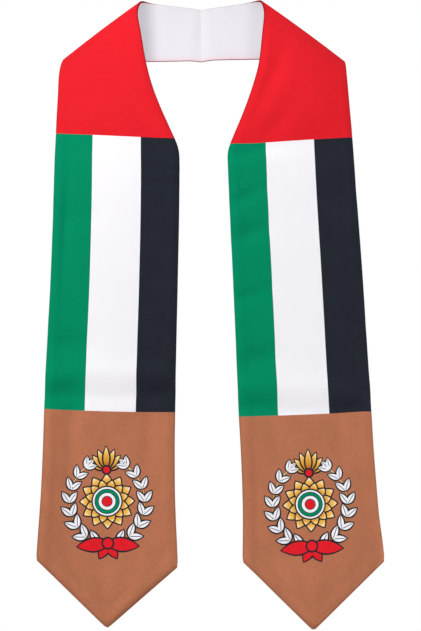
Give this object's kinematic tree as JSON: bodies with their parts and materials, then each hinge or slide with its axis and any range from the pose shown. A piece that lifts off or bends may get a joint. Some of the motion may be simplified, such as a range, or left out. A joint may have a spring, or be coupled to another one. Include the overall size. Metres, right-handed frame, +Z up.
{
  "type": "flag scarf",
  "caption": "Lined flag stole in its worn form, lying round the back of the neck and over both shoulders, with flat front panels that flare to pointed ends.",
  "frame": {"origin": "middle of the neck opening, level with the shoulder ridge where it meets the neck", "axes": "+X across towards the half at the right of the picture, +Y from the hanging panels towards the upper back, +Z up"},
  "size_m": [0.3652, 0.2686, 0.6747],
  "materials": {
    "printed_cloth": "satin weave with a soft sheen, printed in bands of red, green, white, black and tan",
    "lining": "plain matt weave, undyed white"
  },
  "bodies": {
    "root": {"printed_cloth_left": "printed_cloth", "printed_cloth_right": "printed_cloth", "lining_left": "lining", "lining_right": "lining"}
  },
  "joints": []
}
